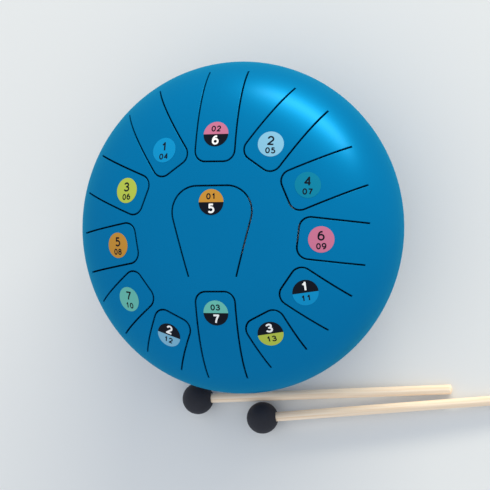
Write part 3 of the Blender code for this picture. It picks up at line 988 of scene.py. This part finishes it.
def pen_shapes(line, weight):
    """Overlapping flat shapes of one stroke: a quad for each short run and a round at each joint."""
    for start, end in zip(line, line[1:]):
        side = (end - start).orthogonal().normalized() * weight / 2
        yield [start + side, start - side, end - side, end + side]
    for joint in line[1:-1]:
        yield [
            joint + Matrix.Rotation(math.tau * step / PEN_SIDES, 2) @ Vector((weight / 2, 0.0))
            for step in range(PEN_SIDES)
        ]


def edge_loops(triangles):
    """The outlines of a set of triangles, as loops of point numbers."""
    runs = {(a, b) for one, two, three in triangles for a, b in ((one, two), (two, three), (three, one))}
    following = {}
    for start, end in sorted(runs):
        if (end, start) not in runs:
            following.setdefault(start, []).append(end)
    loops = []
    while following:
        loop = [next(iter(following))]
        while loop[-1] in following:
            ends = following[loop[-1]]
            loop.append(ends.pop())
            if not ends:
                del following[loop[-2]]
        loops.append(loop[:-1])
    return loops


def triangle_middles(found):
    """The middles of the triangles that a triangulation found."""
    return as_array(found[0])[np.array(found[2])].mean(axis=1)


def within_outline(points, corners, edges):
    """Which points lie inside an outline of straight edges, by the number of edges to their right."""
    ends = as_array(corners)[np.array(edges)]
    (start_x, start_y), (end_x, end_y) = ends[:, 0].T, ends[:, 1].T
    x, y = points[:, :1], points[:, 1:]
    spans = (start_y > y) != (end_y > y)
    rise = np.where(end_y == start_y, 1.0, end_y - start_y)
    return (spans & (x < start_x + (end_x - start_x) * (y - start_y) / rise)).sum(axis=1) % 2 == 1


def digits_mesh(text, height, weight, centre_y):
    """Plain digits as a thin closed print: the strokes are joined into one outline and given a thickness."""
    lines = pen_lines(text, height, weight, centre_y)
    points, shapes = [], []
    for line in lines:
        for shape in pen_shapes(line, weight):
            shapes.append(list(range(len(points), len(points) + len(shape))))
            points += shape
    joined = geometry.delaunay_2d_cdt(points, [], shapes, 1, 1e-6)
    reach = np.min([distances_to_line(triangle_middles(joined), line) for line in lines], axis=0)
    inked = [triangle for triangle, away in zip(joined[2], reach) if away < weight / 2]
    corners, edges = [], []
    for loop in edge_loops(inked):
        kept = []
        for place in (joined[0][index] for index in loop):
            if all((place - other).length > LEAST_INK_EDGE for other in (kept[-1:] + kept[:1])):
                kept.append(place)
        if len(kept) > 3:
            numbers = range(len(corners), len(corners) + len(kept))
            edges += list(zip(numbers, [*numbers[1:], numbers[0]]))
            corners += kept
    print_sheet = geometry.delaunay_2d_cdt(corners, edges, [], 0, 1e-6)
    inside = within_outline(triangle_middles(print_sheet), corners, edges)
    used, top = np.unique(np.array(print_sheet[2])[inside], return_inverse=True)
    top, count = top.reshape(-1, 3), len(used)
    faces = [*top.tolist(), *(top[:, ::-1] + count).tolist()]
    for loop in edge_loops(top.tolist()):
        faces += band_faces([loop, [number + count for number in loop]])
    flat = as_array(print_sheet[0])[used]
    mesh = bpy.data.meshes.new("digits")
    mesh.from_pydata([(x, y, z) for z in (INK_THICKNESS, 0.0) for x, y in flat], [], faces)
    face_outward(mesh)
    return mesh


def build_digits(note, place, spin):
    """The large degree and the small number of a label, as thin prints of their own."""
    labels = settings("drum_labels")
    style = label_style(note)
    inks = {"white_ink": labels.white, "dark_ink": labels.ink}
    large, small = labels.large_digit, labels.small_digits
    large_ink = "dark_ink" if style == "middle" else "white_ink"
    prints = (
        (f"degree_{note}", str(degree_of(note)), large, LARGE_WEIGHT[style], LARGE_MIDDLE[style], large_ink),
        (f"number_{note}", f"{note:02d}", small, SMALL_WEIGHT, SMALL_MIDDLE[style], "dark_ink"),
    )
    for name, text, height, weight, middle, ink_name in prints:
        material = once(ink_name, lambda: ink(ink_name, inks[ink_name]))
        piece = new_piece(name, digits_mesh(text, height, height * weight, middle))
        yield lay_on_crown(piece, place, spin, LABEL_LIFT + labels.thickness - INK_SINK, material)


def quarter_round(radius, steps):
    """Inset and height over the lowest place round a quarter circle that starts upright and ends level."""
    for step in range(1, steps + 1):
        turn = math.pi / 2 * step / steps
        yield radius * (1 - math.cos(turn)), radius * (1 - math.sin(turn))


def build_foot(name, node, material):
    """A tapered rubber foot that is rounded at its base and hollowed at its top to the bowl."""
    low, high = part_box(node)
    place = Vector(((low.x + high.x) / 2, (low.y + high.y) / 2)) - AXIS_PLACE.xy
    centre = place.normalized() * FOOT_CIRCLE
    base, top, edge, height = FOOT_BASE_RADIUS, FOOT_TOP_RADIUS, FOOT_ROUNDING, FOOT_BLANK_HEIGHT
    profile = [(top * step / FOOT_TOP_STEPS, height) for step in range(FOOT_TOP_STEPS + 1)]
    for step in range(1, FOOT_SIDE_STEPS + 1):
        share = step / FOOT_SIDE_STEPS
        profile.append((top + (base - top) * share, height + (edge - height) * share))
    profile += [(base - inset, rise) for inset, rise in quarter_round(edge, FOOT_ROUNDING_STEPS)]
    profile += [(FOOT_BASE_RING, 0.0), (0.0, 0.0)]
    piece = turned(name, profile, FOOT_SIDES, material)
    for vert in piece.data.vertices:
        spot = vert.co.xy + centre
        share = spot.length / DRUM_RADIUS
        bowl_z = AXIS_PLACE.z - BOWL_HEIGHT * (1 - share**CROWN_POWER) ** (1 / SHOULDER_POWER) - FOOT_GAP
        if vert.co.z > edge:
            vert.co.z *= bowl_z / height
        vert.co.xy = spot + AXIS_PLACE.xy
    piece.data.set_sharp_from_angle(angle=FOOT_SHARP_ANGLE)
    return piece


# Mallets


def mallet_frame(number):
    """The ball's centre and the way its stick points: down until its tail lies on the floor as the ball does."""
    mallet = settings("drum_mallets")
    low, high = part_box(f"mallet_head_{number}")
    centre = Vector(((low.x + high.x) / 2, (low.y + high.y) / 2, mallet.head_radius))
    reach = mallet.length - TAIL_ROUNDING
    lean = math.asin(mallet.head_radius / math.hypot(reach, mallet.stick_radius))
    lean -= math.atan2(mallet.stick_radius, reach)
    turn = math.radians(MALLET_TURNS[number])
    way = Vector((math.cos(turn) * math.cos(lean), math.sin(turn) * math.cos(lean), -math.sin(lean)))
    return Matrix.Translation(centre) @ way.to_track_quat("Z", "Y").to_matrix().to_4x4()


def place_on_mallet(piece, number):
    """Moves a turned piece to its place on a mallet, and keeps its own places for patterns."""
    keep_own_place(piece.data)
    piece.data.transform(mallet_frame(number))
    piece.data.set_sharp_from_angle(angle=MALLET_SHARP_ANGLE)
    return piece


def build_mallet_head(number, material):
    """A moulded ball with a blind bore and a rounded mouth where the stick enters."""
    mallet = settings("drum_mallets")
    radius, hole = mallet.head_radius, mallet.stick_radius + BORE_CLEARANCE
    bore_end = radius - BORE_DEPTH
    first = math.asin((hole + MOUTH_ROUNDING) / radius)
    mouth_z = radius * math.cos(first)
    profile = [(0.0, bore_end), (hole, bore_end), (hole, mouth_z - MOUTH_ROUNDING)]
    mouth = list(quarter_round(MOUTH_ROUNDING, MOUTH_STEPS))[:-1]
    profile += [(hole + inset, mouth_z - rise) for inset, rise in mouth]
    for step in range(BALL_RINGS + 1):
        turn = first + (math.pi - first) * step / BALL_RINGS
        profile.append((radius * math.sin(turn), radius * math.cos(turn)))
    return place_on_mallet(turned(f"ball_{number}", profile, BALL_SIDES, material), number)


def build_mallet_stick(number, material):
    """A sanded dowel with its tail rounded over."""
    mallet = settings("drum_mallets")
    radius, tail = mallet.stick_radius, mallet.length - TAIL_ROUNDING
    head_end = mallet.head_radius - BORE_DEPTH + STICK_END_GAP
    profile = []
    for step in range(TAIL_STEPS + 1):
        turn = math.pi / 2 * (1 - step / TAIL_STEPS)
        profile.append((radius * math.cos(turn), tail + TAIL_ROUNDING * math.sin(turn)))
    for step in range(1, STICK_RINGS + 1):
        profile.append((radius, tail + (head_end - tail) * step / STICK_RINGS))
    profile.append((0.0, head_end))
    return place_on_mallet(turned(f"stick_{number}", profile, STICK_SIDES, material), number)


# Operators


class DRUM_OT_face(bpy.types.Operator):
    """Build the slotted, crowned face shell."""

    bl_idname = "drum.face"
    bl_label = "Face shell"

    def execute(self, context):
        piece = build_face_shell(once("satin_enamel_blue", enamel))
        declare(piece, "drum", ["upper_shell"])
        return {"FINISHED"}


class DRUM_OT_bowl(bpy.types.Operator):
    """Build the bowl with its lip and sound hole."""

    bl_idname = "drum.bowl"
    bl_label = "Bowl"

    def execute(self, context):
        piece = build_bowl(once("satin_enamel_blue", enamel))
        declare(piece, "drum", ["lower_shell"])
        return {"FINISHED"}


class DRUM_OT_labels(bpy.types.Operator):
    """Lay the thirteen printed labels and their numbers on the face."""

    bl_idname = "drum.labels"
    bl_label = "Labels and numbers"

    def execute(self, context):
        for note, place, spin in label_places():
            slot = f"label_{SLOT_COLOURS[degree_of(note)]}"
            declare(build_label(note, place, spin), "drum", [f"note_label_{note}"])
            for piece in build_digits(note, place, spin):
                declare(piece, "drum", [])
        return {"FINISHED"}


class DRUM_OT_feet(bpy.types.Operator):
    """Build the four rubber feet under the bowl."""

    bl_idname = "drum.feet"
    bl_label = "Feet"

    def execute(self, context):
        colour = settings("drum_shells").feet
        name = "moulded_rubber_feet"
        material = once(name, lambda: moulded_rubber(name, colour, roughness=0.7))
        for number in range(1, 5):
            node = f"rubber_foot_{number}"
            declare(build_foot(f"foot_{number}", node, material), "drum", [node])
        return {"FINISHED"}


class DRUM_OT_mallets(bpy.types.Operator):
    """Build the two mallets: moulded balls on beech sticks."""

    bl_idname = "drum.mallets"
    bl_label = "Mallets"

    def execute(self, context):
        colour = settings("drum_mallets").rubber
        name = "moulded_rubber_balls"
        rubber = once(name, lambda: moulded_rubber(name, colour, roughness=0.55))
        wood = once("sanded_beech", beech)
        for number in (1, 2):
            body = f"mallet_{number}"
            declare(build_mallet_head(number, rubber), body, [f"mallet_head_{number}"])
            declare(build_mallet_stick(number, wood), body, [f"mallet_stick_{number}"])
        return {"FINISHED"}


def soft_light(name, size, power, colour, place, target):
    """A wide rectangular lamp that looks at a point."""
    lamp = bpy.data.lights.new(name, "AREA")
    lamp.shape = "RECTANGLE"
    lamp.size, lamp.size_y = size
    lamp.energy = power
    lamp.color = colour
    light = bpy.data.objects.new(name, lamp)
    light.location = place
    light.rotation_mode = "QUATERNION"
    light.rotation_quaternion = (target - place).to_track_quat("-Z", "Y")
    bpy.context.scene.collection.objects.link(light)


class DRUM_OT_stage(bpy.types.Operator):
    """Set the camera, the floor and the lights."""

    bl_idname = "drum.stage"
    bl_label = "Stage"

    def execute(self, context):
        stage = settings("drum_stage")
        scene = context.scene
        camera = bpy.data.objects.new("camera", bpy.data.cameras.new("camera"))
        camera.data.lens = stage.lens
        camera.data.sensor_width = SENSOR_WIDTH
        camera.data.clip_end = CLIP_END
        camera.location = AXIS_PLACE + Vector(CAMERA_PLACE) * DRUM_RADIUS
        view = Matrix.Rotation(stage.lean, 4, "Y") @ Matrix.Rotation(stage.roll, 4, "Z")
        camera.rotation_euler = view.to_euler()
        scene.collection.objects.link(camera)
        scene.camera = camera

        corners = [(x * FLOOR_REACH, y * FLOOR_REACH, 0.0) for x, y in ((-1, -1), (1, -1), (1, 1), (-1, 1))]
        mesh = bpy.data.meshes.new("floor")
        mesh.from_pydata(corners, [], [(0, 1, 2, 3)])
        mesh.materials.append(studio_paper())
        new_piece("floor", mesh)

        key_place = AXIS_PLACE + Vector(KEY_PLACE)
        soft_light("key_light", KEY_SIZE, stage.key_power, stage.key_colour, key_place, AXIS_PLACE)
        world = bpy.data.worlds.new("even_light")
        world.use_nodes = True
        back = world.node_tree.nodes["Background"]
        back.inputs["Color"].default_value = (*stage.sky_colour, 1.0)
        back.inputs["Strength"].default_value = stage.sky
        scene.world = world
        scene.view_settings.view_transform = "Standard"
        return {"FINISHED"}


class DRUM_PT_panel(bpy.types.Panel):
    """Lists the drum's builders and their settings."""

    bl_label = "Tongue drum"
    bl_idname = "DRUM_PT_panel"
    bl_space_type = "VIEW_3D"
    bl_region_type = "UI"
    bl_category = "Tongue drum"

    def draw(self, context):
        for operator in OPERATORS:
            self.layout.operator(operator.bl_idname)
        for name, group in GROUPS.items():
            box = self.layout.box()
            for setting in group.__annotations__:
                box.prop(getattr(context.scene, name), setting)


GROUPS = {
    "drum_shells": ShellSettings,
    "drum_labels": LabelSettings,
    "drum_mallets": MalletSettings,
    "drum_stage": StageSettings,
}
OPERATORS = (DRUM_OT_stage, DRUM_OT_face, DRUM_OT_bowl, DRUM_OT_labels, DRUM_OT_feet, DRUM_OT_mallets)


def register():
    """Registers the settings, the operators and the panel."""
    for name, group in GROUPS.items():
        bpy.utils.register_class(group)
        setattr(bpy.types.Scene, name, bpy.props.PointerProperty(type=group))
    for owner in (*OPERATORS, DRUM_PT_panel):
        bpy.utils.register_class(owner)


def unregister():
    """Takes everything back out again."""
    for owner in (DRUM_PT_panel, *reversed(OPERATORS)):
        bpy.utils.unregister_class(owner)
    for name, group in reversed(GROUPS.items()):
        delattr(bpy.types.Scene, name)
        bpy.utils.unregister_class(group)


def main():
    """Builds every piece."""
    register()
    for operator in OPERATORS:
        group, name = operator.bl_idname.split(".")
        getattr(getattr(bpy.ops, group), name)()


if __name__ == "__main__":
    main()
